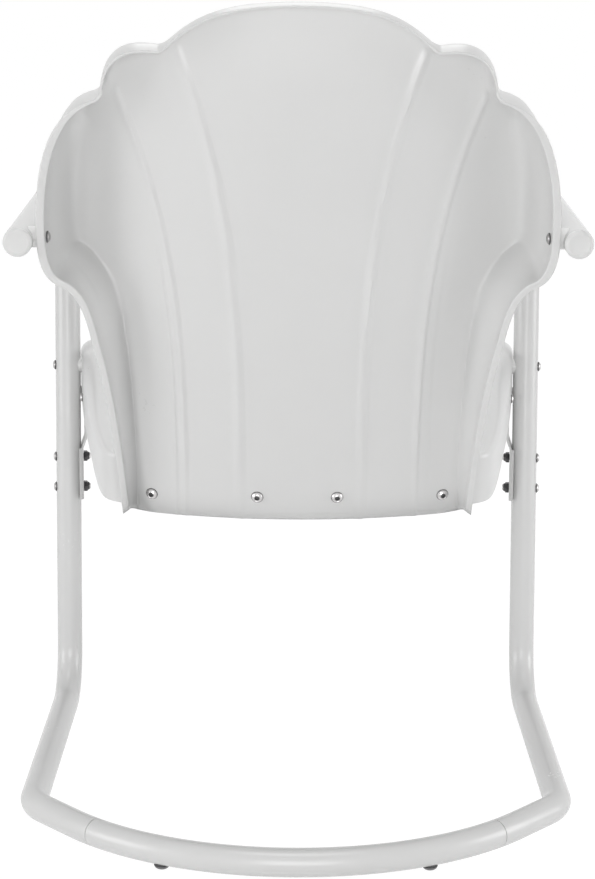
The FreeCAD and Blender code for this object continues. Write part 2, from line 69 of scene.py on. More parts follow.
camera_data = bpy.data.cameras.new("camera")
camera_data.sensor_width = 36.0
camera_data.lens = 110.58
camera = put("camera", camera_data)
camera.matrix_world = Matrix.Translation(camera_place) @ camera_turn.to_4x4()
bpy.context.scene.camera = camera
bpy.context.scene.view_settings.view_transform = "Standard"


# White paint. The steel is sprayed with gloss powder and baked, which leaves a skin that
# is even in colour, with a fine orange peel and a few dull spots.
class Signal:
    """A number that varies over a surface, which sums and products can be written with."""

    def __init__(self, finish, socket):
        self.finish = finish
        self.socket = socket

    def maths(self, operation, first, second):
        node = self.finish.node("ShaderNodeMath", {"operation": operation}, {0: first, 1: second})
        return Signal(self.finish, node.outputs[0])

    def __add__(self, other):
        return self.maths("ADD", self, other)

    def __radd__(self, other):
        return self.maths("ADD", other, self)

    def __sub__(self, other):
        return self.maths("SUBTRACT", self, other)

    def __rsub__(self, other):
        return self.maths("SUBTRACT", other, self)

    def __mul__(self, other):
        return self.maths("MULTIPLY", self, other)

    def __rmul__(self, other):
        return self.maths("MULTIPLY", other, self)


class Finish:
    """A material or a world: its shader's even values, and the nodes that vary the others."""

    def __init__(self, owner, **even):
        self.owner = owner
        owner.use_nodes = True
        self.nodes = owner.node_tree.nodes
        self.links = owner.node_tree.links
        self.shader = self.nodes.get("Principled BSDF")
        for socket, value in even.items():
            self.shader.inputs[socket.replace("_", " ")].default_value = value

    def node(self, kind, settings, sockets):
        node = self.nodes.new(kind)
        for name, value in settings.items():
            setattr(node, name, value)
        for name, value in sockets.items():
            self.feed(node.inputs[name], value)
        return node

    def feed(self, socket, value):
        if isinstance(value, Signal):
            self.links.new(value.socket, socket)
        elif isinstance(value, bpy.types.NodeSocket):
            self.links.new(value, socket)
        else:
            socket.default_value = value

    def cover(self, share, below, above):
        """Sends two shaders to the output, the upper one covering this share of the lower."""
        mix = self.node("ShaderNodeMixShader", {},
                        {0: share, 1: below.outputs[0], 2: above.outputs[0]})
        output = next(node for node in self.nodes if node.type.startswith("OUTPUT"))
        self.feed(output.inputs["Surface"], mix.outputs[0])

    def mirrored(self):
        """1 where the camera sees the surface itself, or through glass or in a gloss."""
        rays = self.node("ShaderNodeLightPath", {}, {})
        seen = Signal(self, rays.outputs["Is Camera Ray"])
        for kind in ("Is Glossy Ray", "Is Transmission Ray"):
            seen = seen + Signal(self, rays.outputs[kind])
        return seen

    def grain(self, size, detail):
        """Soft noise from 0 to 1 whose features are about this wide, in metres."""
        place = self.node("ShaderNodeTexCoord", {}, {}).outputs["Object"]
        noise = self.node("ShaderNodeTexNoise", {},
                          {"Vector": place, "Scale": 1.0 / size, "Detail": detail})
        return Signal(self, noise.outputs["Fac"])

    def point_value(self, name):
        """A number that the mesh carries at each of its points."""
        carried = self.node("ShaderNodeAttribute", {"attribute_name": name}, {})
        return Signal(self, carried.outputs["Fac"])

    def between(self, share, low, high):
        """The colour that lies this share of the way from one to another."""
        mix = self.node("ShaderNodeMix", {"data_type": "RGBA"}, {0: share, 6: low, 7: high})
        return mix.outputs[2]

    def vary(self, name, value):
        """Sets one of the shader's values to a signal or a colour."""
        self.feed(self.shader.inputs[name], value)

    def relief(self, size, detail, depth):
        """Small bumps about this wide and at most this deep."""
        height = self.grain(size, detail)
        bump = self.node("ShaderNodeBump", {}, {"Height": height, "Distance": depth, "Strength": 1.0})
        self.vary("Normal", bump.outputs["Normal"])


def darker(shade, share):
    return [part * share for part in shade[:3]] + [1.0]


def paint(name, shade, gloss):
    """Gloss powder paint of one shade: orange peel, soft clouds, and painted shade, darker where the mesh's
    painted-shade value is high.
    """
    finish = Finish(bpy.data.materials.new(name), IOR=1.5)
    clouds = finish.grain(size=90 * mm, detail=3.0)
    specks = finish.grain(size=4 * mm, detail=1.0)
    cover = finish.between(clouds, darker(shade, share=0.965), shade)
    # Painted shade: where the mesh's value is high, the colour darkens towards six tenths of the shade.
    painted_shade_mark = finish.point_value("painted_shade")
    finish.vary("Base Color", finish.between(painted_shade_mark, cover, darker(shade, share=0.6)))
    finish.vary("Roughness", gloss + 0.08 * clouds + 0.03 * specks)
    finish.relief(size=2.6 * mm, detail=1.0, depth=0.012 * mm)
    return finish.owner


white = (0.71, 0.71, 0.706, 1.0)
tube_paint = paint("tube_paint", white, 0.2)
sheet_paint = paint("sheet_paint", white, 0.24)

# Side frames. Each is one steel tube, bent cold and painted after bending: arm, top bend,
# front leg, spring bend, floor runner, rear bend, and an end squeezed thinner that goes
# into the rear cross tube.
tube_r = 15 * mm
tube_sides = 48
bend_steps = 24
rear_bend_steps = 14
bow_steps = 6
swaged_r = 13.3 * mm
swaged_turn = 0.2
leg_half_spacing = 277 * mm
leg_foot_y = -233 * mm
toe_out = radians(1.1)
leg_lean = radians(4.35)
floor_rise = radians(0.59)
spring_bend_r = 60 * mm
top_bend_r = 75 * mm
rear_bend_r = 60 * mm
arm_rear_z = 638 * mm
arm_slope = radians(0.86)
arm_reach = 451 * mm
bow_reach = 581 * mm
bow_r = 305 * mm
bow_end = radians(50.4)
seam = radians(43.8)
spring_half_angle = (pi / 2 + leg_lean - floor_rise) / 2
foot_z = (tube_r + spring_bend_r * (1 - cos(floor_rise))
          - spring_bend_r / tan(spring_half_angle) * sin(floor_rise))
bow_centre = bow_reach - bow_r


def floor_point(x, reach):
    """A point of the floor frame, whose plane rises a little to the rear."""
    return Vector((x, leg_foot_y + reach * cos(floor_rise), foot_z + reach * sin(floor_rise)))


def side_point(q, z):
    """A point of the left side frame's upright plane."""
    return Vector((leg_half_spacing + q * sin(toe_out), leg_foot_y + q * cos(toe_out), z))


def bow_point(angle):
    return floor_point(bow_r * sin(angle), bow_centre + bow_r * cos(angle))


def rear_corner():
    x, reach = bow_r * sin(bow_end), bow_centre + bow_r * cos(bow_end)
    run = ((leg_half_spacing + tan(toe_out) * reach - x)
           / (cos(bow_end) + tan(toe_out) * sin(bow_end)))
    return floor_point(x + run * cos(bow_end), reach - run * sin(bow_end))


def top_corner():
    slope = tan(arm_slope)
    z = ((arm_rear_z + slope * (arm_reach - foot_z * tan(leg_lean)))
         / (1 - slope * tan(leg_lean)))
    return side_point(-(z - foot_z) * tan(leg_lean), z)


def edges_among(bm, geometry):
    verts = {item for item in geometry if isinstance(item, bmesh.types.BMVert)}
    return [edge for edge in bm.edges if edge.verts[0] in verts and edge.verts[1] in verts]


def facing(place, direction):
    """The move that brings something upright to a place, with its top facing a way."""
    return Matrix.Translation(place) @ direction.to_track_quat("Z", "Y").to_matrix().to_4x4()


def start_ring(bm, centre, direction, radius):
    ring = bmesh.ops.create_circle(bm, segments=tube_sides, radius=radius,
                                   matrix=facing(centre, direction))
    return edges_among(bm, ring["verts"])


def ring_verts(ring):
    return list({vert for edge in ring for vert in edge.verts})


def grow(bm, edges):
    """Extrudes edges in place and gives the new vertices."""
    grown = bmesh.ops.extrude_edge_only(bm, edges=edges)["geom"]
    return [item for item in grown if isinstance(item, bmesh.types.BMVert)]


def run_straight(bm, ring, travel):
    verts = grow(bm, ring)
    bmesh.ops.translate(bm, verts=verts, vec=travel)
    return edges_among(bm, verts)


def run_bend(bm, ring, start, centre, end, steps):
    """Turns the end ring about a bend's centre, from the bend's start to its end."""
    axis = (start - centre).cross(end - centre).normalized()
    angle = (start - centre).angle(end - centre)
    turned_ring = bmesh.ops.spin(bm, geom=ring_verts(ring) + ring, cent=centre, axis=axis,
                                 angle=angle, steps=steps)
    return edges_among(bm, turned_ring["geom_last"])


def resize_ring(bm, ring, centre, share):
    bmesh.ops.scale(bm, vec=Vector((1, 1, 1)) * share, verts=ring_verts(ring),
                    space=Matrix.Translation(-centre))


def close_ends(bm):
    """Caps each open end, and turns the faces outwards."""
    bmesh.ops.holes_fill(bm, edges=[edge for edge in bm.edges if edge.is_boundary], sides=0)
    bmesh.ops.recalc_face_normals(bm, faces=bm.faces)


def bend(before, corner, after, radius):
    """Start, centre and end of the bend that rounds a corner of a tube's line."""
    back, onward = (before - corner).normalized(), (after - corner).normalized()
    half = back.angle(onward) / 2
    centre = corner + (back + onward).normalized() * (radius / sin(half))
    reach = radius / tan(half)
    return corner + back * reach, centre, corner + onward * reach


def piece(bm, name, material, sharp=35):
    """Makes a scene object from a mesh, with smooth faces that meet sharply past an angle."""
    mesh = bpy.data.meshes.new(name)
    bm.to_mesh(mesh)
    bm.free()
    mesh.polygons.foreach_set("use_smooth", [True] * len(mesh.polygons))
    mesh.set_sharp_from_angle(angle=radians(sharp))
    mesh.materials.append(material)
    made = put(name, mesh)
    return made


def other_side(bm):
    """The mirror image of a left-hand mesh, for the right-hand piece."""
    twin = bm.copy()
    bmesh.ops.scale(twin, vec=(-1, 1, 1), verts=twin.verts)
    bmesh.ops.reverse_faces(twin, faces=twin.faces)
    return twin


foot = floor_point(leg_half_spacing, 0)
corner_rear = rear_corner()
corner_top = top_corner()
arm_end = side_point(arm_reach, arm_rear_z)
arm_dir = (arm_end - corner_top).normalized()
floor_centre = floor_point(0, bow_centre)


def side_frame():
    """The left frame, from the arm's rear end to its squeezed end."""
    bm = bmesh.new()
    corners = (arm_end, corner_top, foot, corner_rear, bow_point(bow_end))
    bends = ((top_bend_r, bend_steps), (spring_bend_r, bend_steps), (rear_bend_r, rear_bend_steps))
    ring, reached = start_ring(bm, arm_end, -arm_dir, tube_r), arm_end
    for before, corner, after, (radius, steps) in zip(corners, corners[1:], corners[2:], bends):
        start, centre, end = bend(before, corner, after, radius)
        ring = run_straight(bm, ring, start - reached)
        ring = run_bend(bm, ring, start, centre, end, steps)
        reached = end
    ring = run_straight(bm, ring, bow_point(bow_end) - reached)
    ring = run_bend(bm, ring, bow_point(bow_end), floor_centre, bow_point(seam), bow_steps)
    shoulder = run_straight(bm, ring, Vector())
    resize_ring(bm, shoulder, bow_point(seam), swaged_r / tube_r)
    run_bend(bm, shoulder, bow_point(seam), floor_centre, bow_point(seam - swaged_turn), bow_steps)
    close_ends(bm)
    return bm


left_frame = side_frame()
for side, mesh in (("right", other_side(left_frame)), ("left", left_frame)):
    frame_tube = piece(mesh, side + "_side_frame", tube_paint)
    parts = ("arm_tube", "top_bend", "front_leg", "spring_bend", "runner")
    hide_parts(*[side + "_" + part for part in parts])
    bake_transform(frame_tube)

# Rear cross tube. A bowed piece of the same tube is pushed over the two squeezed ends; its
# cut ends are slightly rounded, and a dark line shows where they meet the side frames.
tube_wall = 1.5 * mm
seam_gap = 0.5 * mm
edge_round = 0.5 * mm
half_bow_steps = 30
weld = 0.01 * mm


def cross_tube():
    """Half the tube, from its cut end to the middle, and its mirror image."""
    bm = bmesh.new()
    first = seam - seam_gap / bow_r
    tangent = (bow_point(first - 0.01) - bow_point(first)).normalized()
    centre, radius = bow_point(first), tube_r - tube_wall
    ring = start_ring(bm, centre, tangent, radius)
    for wider, onward in ((tube_r - edge_round, 0.0), (tube_r, edge_round)):
        ring = run_straight(bm, ring, Vector())
        resize_ring(bm, ring, centre, wider / radius)
        radius = wider
        bmesh.ops.translate(bm, verts=ring_verts(ring), vec=tangent * onward)
    start = first - edge_round / bow_r
    run_bend(bm, ring, bow_point(start), floor_centre, bow_point(0), half_bow_steps)
    half = list(bm.verts) + list(bm.edges) + list(bm.faces)
    bmesh.ops.mirror(bm, geom=half, axis="X", merge_dist=weld)
    bmesh.ops.remove_doubles(bm, verts=bm.verts, dist=weld)
    close_ends(bm)
    return bm


cross = piece(cross_tube(), "rear_cross_tube_painted", tube_paint)
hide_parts("rear_cross_tube")
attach(cross, "base")

# Back shell. One steel sheet pressed to five lobes: a bowed panel with four creases that
# fan out to the notches, a deep wall round its edge, and a narrow lip turned outwards.
sheet = 1.2 * mm
back_foot_reach = 372 * mm
back_foot_z = 326 * mm
back_foot = Vector((0, leg_foot_y + back_foot_reach, back_foot_z))
recline = radians(15)
up_back = Vector((0, sin(recline), cos(recline)))
rear_of_back = Vector((0, cos(recline), -sin(recline)))

# The back is laid out in millimetres: x across, h up the recline, w rearward. Places on half
# the rim run from 0, at the middle of the top, to 8, at the foot's corner, one to a curve.
foot_bow = 29.0
foot_bow_x = 180.0
rim_curves = [
    [(0, 580), (75, 580), (103, 563.5), (131, 536)],
    [(131, 536), (133.3, 533.7), (136.9, 530.3), (140.5, 530.7)],
    [(140.5, 530.7), (177, 534.5), (193.4, 518), (197.4, 486)],
    [(197.4, 486), (197.9, 481.5), (201.7, 477.9), (205.5, 476.6)],
    [(205.5, 476.6), (240, 464), (264, 430), (266.5, 340)],
    [(266.5, 340), (268, 300), (262, 278), (243, 271.5)],
    [(243, 271.5), (225, 264), (219, 240), (213, 209)],
    [(213, 209), (202, 165), (192, 90), (187.5, 0)],
]
rim_counts = [40, 8, 24, 8, 40, 24, 20, 40]

# The panel's columns run from its foot to the rim: where each starts, by its place on the
# rim, and how late it bends outwards.
panel_foot = ((0, 0), (1.5, 65), (3.5, 122), (8, 150))
ray_bends = ((0, 3.3), (4.5, 3.3), (5.2, 5), (6, 5.5), (6.5, 4.2), (7, 3), (7.5, 1.8), (8, 1))

# The wall between panel and lip, along those places: how wide the lip and the wall are, how
# far the wall bulges at the lip, how far out its foot starts to rise, and what share of its
# depth it drops at the lip and holds at its foot.
lip_widths = ((0, 2.5), (3, 3), (4, 3.2), (4.25, 6), (4.5, 8.5), (5.5, 8.5), (6, 7), (7, 7), (8, 7.5))
wall_runs = ((0, 9), (3, 12), (4, 17), (4.5, 24), (5.2, 25), (6, 26), (6.5, 28), (7, 24), (7.33, 19),
             (7.6, 15), (7.85, 12), (8, 7))
wall_bulges = ((0, 1), (1, 1.5), (1.5, 3), (3, 3), (4, 3.5), (4.2, 5), (4.55, 5.5), (5, 1.8),
               (5.5, 1.2), (6, 0), (8, 0))
wall_leans = ((0, 0.2), (4.2, 0.2), (4.8, 0.85), (7.3, 0.85), (8, 0.7))
wall_drops = ((0, 0.85), (4.2, 0.85), (4.8, 0.45), (8, 0.45))
wall_holds = ((0, 0), (4.2, 0), (4.8, 0.3), (7.6, 0.3), (8, 0.2))


def bezier(curve, t):
    """A cubic curve's point, from its four control numbers or points."""
    k = 1 - t
    shares = (k ** 3, 3 * k * k * t, 3 * k * t * t, t ** 3)
    if isinstance(curve[0], (int, float)):
        return sum(share * value for share, value in zip(shares, curve))
    return [sum(share * point[n] for share, point in zip(shares, curve)) for n in range(2)]


def ease(low, high, value):
    """Rises from 0 to 1 between two values, slowly at the ends."""
    t = min(max((value - low) / (high - low), 0.0), 1.0)
    return t * t * (3 - 2 * t)


def blend_between(pairs, value):
    """The height of a broken line through pairs of place and height."""
    for (low, first), (high, second) in zip(pairs, pairs[1:]):
        if value <= high:
            return first + (second - first) * (value - low) / (high - low)
    return pairs[-1][1]


def evened(line, passes):
    """Moves each point but the ends towards its neighbours' middle, a number of times."""
    for _ in range(passes):
        inner = [[(a[n] + 2 * b[n] + c[n]) / 4 for n in range(len(b))]
                 for a, b, c in zip(line, line[1:], line[2:])]
        line = [line[0]] + inner + [line[-1]]
    return line


lip_middle = 14
lip_side_fall = 20
lip_side_x = 250
lip_foot_fall = 12
lip_foot_h = 300


def rim_depth(x, h):
    """How far rearward the lip stands: most at the middle, less at the sides and the foot."""
    return (lip_middle - lip_side_fall * min(1.0, (x / lip_side_x) ** 2)
            - lip_foot_fall * max(0.0, 1 - h / lip_foot_h) ** 2)


foot_middle_h = -1.3
foot_sag = 4.2
foot_sag_x = 160


def foot_edge(x):
    return foot_middle_h - foot_sag * min(1.0, abs(x) / foot_sag_x) ** 2


# A rib's line: its start from the middle, its spread up to a height, and how late that comes.
inner_rib = (64.5, 62, 532, 3.4)
outer_rib = (122.8, 67.3, 480, 3.25)
split_gap = 10.3
left_rib_heights = (2.4, 2.1, 1.5)
right_rib_heights = (3.4, 2.6, 0.5)
rib_steep = 2.0
rib_gentle = 5.0
rib_shift = 4.0
rib_end_heights = (560, 505)
rib_foot_heights = (20, 90)
rib_foot_share = 0.35
split_heights = (330, 270)


def rib_x(rib, h):
    start, spread, reach, power = rib
    return start + spread * (max(h, 0) / reach) ** power


# The bow grows between two heights. Above the waist the wings bend further forward beyond the
# outer ribs, and the top and the lowest edge curl forward too.
bow_heights = (65.0, 300)
bow_more = 33
bow_x_more = 49
bow_power_more = 0.4
top_bend = 9
top_heights = (470, 580)
curl_depth = 5.0
curl_height = 14
wing_bend = 0.14
wing_start = 12
wing_end_heights = (500, 420)
wing_foot_heights = (60, 200)


def panel_depth(x, h):
    """How far rearward of the foot's middle the panel lies."""
    rising = ease(*bow_heights, h)
    fall = foot_bow + bow_more * rising
    reach = foot_bow_x + bow_x_more * rising
    bow = fall * (abs(x) / reach) ** (2 + bow_power_more * rising)
    top = top_bend * ease(*top_heights, h)
    curl = curl_depth * max(0.0, 1 - (h - foot_edge(x)) / curl_height) ** 2
    beyond = max(0.0, abs(x) - rib_x(outer_rib, h))
    wing = wing_bend * beyond * beyond / (beyond + wing_start)
    wing_share = ease(*wing_end_heights, h) * ease(*wing_foot_heights, h)
    return -bow - top - curl - wing * wing_share


def ridge(x, place, height):
    """A rib with one steep flank, on the side of smaller x."""
    wide = rib_steep if x < place else rib_gentle
    return height * exp(-((x - place) / wide) ** 2)


def rib_depth(x, h):
    """Pressed ribs, standing rearward: one near the middle, and further out one that splits."""
    x += rib_shift
    side = 1 if x > 0 else -1
    inner_high, outer_high, split_high = left_rib_heights if x > 0 else right_rib_heights
    outer = rib_x(outer_rib, h)
    foot_fade = rib_foot_share + (1 - rib_foot_share) * ease(*rib_foot_heights, h)
    split_fade = ease(*split_heights, h)
    return ease(*rib_end_heights, h) * foot_fade * (
        ridge(x, side * rib_x(inner_rib, h), inner_high)
        + ridge(x, side * outer, outer_high)
        + ridge(x, side * (outer + split_gap), split_high * split_fade))


rim_end = 8.0
corner_place = 7.3
corner_drop = 4.5
size_passes = 6
root_passes = 20


def rim_columns():
    """Half the back's columns: place, rim, lip's inner edge, wall's root and sizes."""
    places = [index + k / count for index, count in enumerate(rim_counts) for k in range(count)]
    places.append(rim_end)
    last = len(rim_curves) - 1
    rim = [bezier(rim_curves[min(int(s), last)], s - min(int(s), last)) for s in places]
    tables = (lip_widths, wall_runs, wall_bulges, wall_leans, wall_drops, wall_holds)
    sizes = evened([[blend_between(table, s) for table in tables] for s in places], size_passes)
    lips, roots = [], []
    for k, (lip, run, *_) in enumerate(sizes):
        a, b = rim[max(k - 1, 0)], rim[min(k + 1, len(rim) - 1)]
        length = hypot(b[0] - a[0], b[1] - a[1])
        inward = ((b[1] - a[1]) / length, -(b[0] - a[0]) / length) if k else (0.0, -1.0)
        lips.append([point + lip * part for point, part in zip(rim[k], inward)])
        roots.append([point + (lip + run) * part for point, part in zip(rim[k], inward)])
    roots = [[x, h - corner_drop * ease(corner_place, rim_end, s)]
             for s, (x, h) in zip(places, evened(roots, root_passes))]
    return list(zip(places, rim, lips, roots, [size[2:] for size in sizes]))


panel_rows = 72
wall_rows = 18
round_rows = 4
lip_rows = 4
foot_crowding = 1.6
wall_crowding = 1.25
slope_step = 0.05
fillet = 1.6
tip_place = 7.88
tip_lift = 6.2
tip_slant = 3.7
tip_out = 1
tip_in = 1.8


def panel_point(column, row):
    """A point of the panel, still flat; rows crowd towards the foot and the wall."""
    s, root = column[0], column[3]
    up = 1 - (1 - (row / panel_rows) ** foot_crowding) ** wall_crowding
    foot_x = blend_between(panel_foot, s)
    x = foot_x + (root[0] - foot_x) * up ** blend_between(ray_bends, s)
    low_edge = foot_edge(x)
    return x, low_edge + (root[1] - low_edge) * up, 0.0


def wall_point(column, row):
    """A point of the wall, which leaves the panel smoothly and reaches the lip steeply."""
    s, rim, lip, root, (bulge, lean, drop, hold) = column
    t = 1 - row / wall_rows
    onward = [base + (edge - base) * slope_step for edge, base in zip(lip, root)]
    top, low = rim_depth(*rim) - fillet, panel_depth(*root)
    lowest = low + (panel_depth(*onward) - low) * (1 - lean) / slope_step + hold * (top - low)
    run = hypot(root[0] - lip[0], root[1] - lip[1])
    inward = bezier((0.0, -2 * bulge / run, lean, 1.0), t)
    x, h = [edge + (base - edge) * inward for edge, base in zip(lip, root)]
    h += tip_lift * ease(tip_place, rim_end, s) * (1 - t)
    return x, h, bezier((top, top - drop * (top - low), lowest, low), t)


def lip_point(column, row):
    """A point of the rounded edge and the lip, which is lifted where it ends."""
    s, rim, lip = column[:3]
    high = rim_depth(*rim)
    wide = hypot(rim[0] - lip[0], rim[1] - lip[1])
    if row <= round_rows:
        angle = pi / 2 * row / round_rows
        share = fillet * (1 - cos(angle)) / wide
        high -= fillet * (1 - sin(angle))
    else:
        share = fillet / wide + (1 - fillet / wide) * (row - round_rows) / lip_rows
    x, h = [edge + (end - edge) * share for edge, end in zip(lip, rim)]
    tip = ease(tip_place, rim_end, s)
    return x + tip * (tip_out - tip_in * share), h + tip * (tip_lift - tip_slant * share), high


def back_place(column, row):
    """Where a row of a column lies: across, up the recline, and rearward."""
    if row <= panel_rows:
        return panel_point(column, row)
    if row <= panel_rows + wall_rows:
        return wall_point(column, row - panel_rows)
    return lip_point(column, row - panel_rows - wall_rows)


# Painted shade along the wall's root, by height up the back; on the view's right, less of it.
root_painted_shade = ((0, 0.95), (60, 0.72), (150, 0.6), (190, 0.4), (240, 0.32), (280, 0.5), (400, 0.36),
                 (470, 0.0), (600, 0.0))
right_painted_shade_share = 0.12
fold_width = 17
foot_painted_shade = 0.4
foot_band = 18
foot_spread = 150


def painted_shade(across, h, distance):
    """How much painted shade darkens the wall's root and the curled foot, from 0 to 1."""
    along = blend_between(root_painted_shade, h)
    if across < 0:
        along *= right_painted_shade_share
    fold = along * exp(-(distance / fold_width) ** 2)
    above = max(h - foot_edge(across), 0.0)
    foot = foot_painted_shade * (0.5 + min(1.0, abs(across) / foot_spread))
    return min(1.0, fold + foot * exp(-(above / foot_band) ** 2))


def soften(bm, verts, passes):
    for _ in range(passes):
        bmesh.ops.smooth_vert(bm, verts=verts, factor=0.5,
                              use_axis_x=True, use_axis_y=True, use_axis_z=True)


def face_towards(bm, place, direction):
    """Turns all faces over, unless the one nearest to a place looks this way."""
    nearest = min(bm.faces, key=lambda face: (face.calc_center_median() - place).length)
    if nearest.normal.dot(direction) < 0:
        bmesh.ops.reverse_faces(bm, faces=bm.faces)


def thicken(made, thickness):
    """Gives a pressed sheet its thickness, behind the faces that are modelled."""
    layer = made.modifiers.new("sheet", "SOLIDIFY")
    layer.thickness = thickness
    layer.offset = -1


panel_passes = 60
valley_passes = 6
valley_rows = (panel_rows - 8, panel_rows + 5)
hollow_passes = 40
hollow_rows = (panel_rows - 18, panel_rows + 11)
hollow_heights = (225, 440)
wall_reach_share = 1.6


def back_shell():
    """Laid out flat, so that the panel's mesh can be evened, and then pressed to depth."""
    bm = bmesh.new()
    columns = rim_columns()
    across = len(columns) - 1
    rows = panel_rows + wall_rows + round_rows + lip_rows
    bmesh.ops.create_grid(bm, x_segments=2 * across, y_segments=rows, size=1.0)
    painted_shade_mark = bm.verts.layers.float.new("painted_shade")
    panel, valley, hollow, roots = [], [], [], {}
    for vert in bm.verts:
        column = round(abs(vert.co.x) * across)
        side = -1 if vert.co.x < 0 else 1
        row = round((vert.co.y + 1) / 2 * rows)
        if row <= panel_rows:
            panel.append(vert)
        if valley_rows[0] < row < valley_rows[1] and not vert.is_boundary:
            valley.append(vert)
        if hollow_rows[0] < row < hollow_rows[1] and not vert.is_boundary:
            hollow.append(vert)
        x, h, w = back_place(columns[column], row)
        vert.co = (side * x, h, w)
        roots[vert] = (columns[column][3], row)
    inside = [vert for vert in panel if not vert.is_boundary
              and all(edge.other_vert(vert).co.z == 0 for edge in vert.link_edges)]
    soften(bm, inside, panel_passes)
    for vert in panel:
        vert.co.z = panel_depth(vert.co.x, vert.co.y)
    soften(bm, valley, valley_passes)
    low, high = hollow_heights
    soften(bm, [vert for vert in hollow if low < vert.co.y < high], hollow_passes)
    for vert in panel:
        vert.co.z += rib_depth(vert.co.x, vert.co.y)
    # Painted shade: each point gets its darkening, most at the wall's root and the curled foot.
    for vert, ((root_x, root_h), row) in roots.items():
        deep = wall_reach_share if row > panel_rows else 1.0
        distance = deep * hypot(abs(vert.co.x) - root_x, vert.co.y - root_h)
        vert[painted_shade_mark] = painted_shade(vert.co.x, vert.co.y, distance)
    lean = Matrix((Vector((1, 0, 0)), up_back, rear_of_back)).transposed().to_4x4()
    stand = Matrix.Translation(back_foot) @ lean @ Matrix.Scale(mm, 4)
    bmesh.ops.transform(bm, matrix=stand, verts=bm.verts)
    bm.normal_update()
    face_towards(bm, back_foot + up_back * 0.3, rear_of_back)
    return bm


back = piece(back_shell(), "back_shell_pressed", sheet_paint, sharp=60)
thicken(back, sheet)
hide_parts("back_shell")
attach(back, "seat_frame")

# Seat pan. One pressed sheet, dished and rolled over all round into a skirt, whose lower
# edge is folded in. Its rear wall leans with the back and is bolted to it.
seat_front = -130 * mm
seat_front_bow = 26 * mm
seat_front_half = 266.4 * mm
seat_rear_half = 213 * mm
seat_side_bow = 4 * mm
seat_top_reach = 386 * mm
seat_edge_z = 393 * mm
seat_slope = 0.115
seat_dish = 18 * mm
seat_fall = 22 * mm
seat_roll = (16 * mm, 7 * mm)
seat_roll_places = (-0.3, 0.6)
roll_start = 1.2
slope_probe = 0.25
seat_gap = 0.5 * mm
seat_power = 20
hem = 5 * mm


def seat_rear(z):
    """Where the seat's rear wall lies at a height, against the leaning back."""
    return (back_foot_reach + (z - back_foot_z) * tan(recline)
            - (sheet + seat_gap) / cos(recline))


def seat_bow(x):
    return foot_bow * mm * (x / (foot_bow_x * mm)) ** 2 / cos(recline)


def seat_half(reach, z):
    corner = seat_rear(z) - seat_bow(seat_rear_half)
    share = (corner - reach) / (corner - seat_front - seat_front_bow)
    bow = 4 * seat_side_bow * share * (1 - share)
    return seat_rear_half + (seat_front_half - seat_rear_half) * share + bow


def seat_plan(a, b, inset, z):
    """The seat's outline at a height, drawn in by an inset; a and b run from -1 to 1."""
    size = (abs(a) ** seat_power + abs(b) ** seat_power) ** (1 / seat_power)
    if size > 0:
        a, b = [part * max(abs(a), abs(b)) / size for part in (a, b)]
    rear, front = seat_rear(z), seat_front
    half = (rear - front) / 2
    b *= 1 - inset / half
    reach = front + half + half * b
    width = seat_half(min(reach, rear), z)
    x = a * (width - inset)
    if b > 0:
        reach -= seat_bow(x) * b ** 4
    else:
        reach += seat_front_bow * (x / seat_front_half) ** 2 * b ** 4
    return x, reach


def seat_top_z(x, reach):
    middle = (seat_front + seat_top_reach) / 2
    a = x / seat_half(reach, seat_edge_z)
    b = (reach - middle) / ((seat_top_reach - seat_front) / 2)
    front = max(0.0, reach / seat_front)
    return (seat_edge_z + (seat_top_reach - reach) * seat_slope - seat_fall * front ** 2
            - seat_dish * (1 - a ** 4) * (1 - b ** 4))


skirt_heights = ((-160, 390), (-80, 376), (20, 364), (210, 358), (300, 342), (360, 336), (420, 335))


def skirt_low_z(reach):
    return blend_between([(place * mm, z * mm) for place, z in skirt_heights], reach)


roll_rings = 8
skirt_rings = 8
hem_rings = 3


def seat_place(a, b, ring):
    """A point of the seat; ring counts outwards from the flat, over the roll and down."""
    roll = seat_roll[0] + (seat_roll[1] - seat_roll[0]) * ease(*seat_roll_places, b)
    x, reach = seat_plan(a, b, roll * roll_start, seat_edge_z)
    z = seat_top_z(x, reach)
    if ring == 0:
        return Vector((x, leg_foot_y + reach, z))
    inner = seat_plan(a, b, roll * (roll_start + slope_probe), seat_edge_z)
    tilt = atan2(z - seat_top_z(*inner), roll * slope_probe)
    centre_z = z - roll * cos(tilt)
    if ring <= roll_rings:
        turn = -tilt + (pi / 2 + tilt) * ring / roll_rings
        inset = roll * (1 - sin(turn))
        z = centre_z + roll * cos(turn)
    else:
        outer = seat_plan(a, b, 0, centre_z)
        low = skirt_low_z(outer[1])
        down = min(ring - roll_rings, skirt_rings) / skirt_rings
        inset = hem * max(0, ring - roll_rings - skirt_rings) / hem_rings
        z = centre_z + (low - centre_z) * down
    x, reach = seat_plan(a, b, inset, z)
    return Vector((x, leg_foot_y + reach, z))


def seat_pan():
    """A flat grid with rings grown round it, whose points then go to their places."""
    bm = bmesh.new()
    bmesh.ops.create_grid(bm, x_segments=96, y_segments=96, size=1.0)
    edge = [item for item in bm.edges if item.is_boundary]
    for ring in range(1, roll_rings + skirt_rings + hem_rings + 1):
        verts = grow(bm, edge)
        for vert in verts:
            vert.co.z = ring
        edge = edges_among(bm, verts)
    for vert in bm.verts:
        vert.co = seat_place(vert.co.x, vert.co.y, round(vert.co.z))
    bm.normal_update()
    bmesh.ops.recalc_face_normals(bm, faces=bm.faces)
    face_towards(bm, Vector((0, -0.1, 0.4)), Vector((0, 0, 1)))
    return bm


seat = piece(seat_pan(), "seat_pan_pressed", sheet_paint, sharp=60)
thicken(seat, sheet)
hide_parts("seat_pan")
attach(seat, "seat_frame")

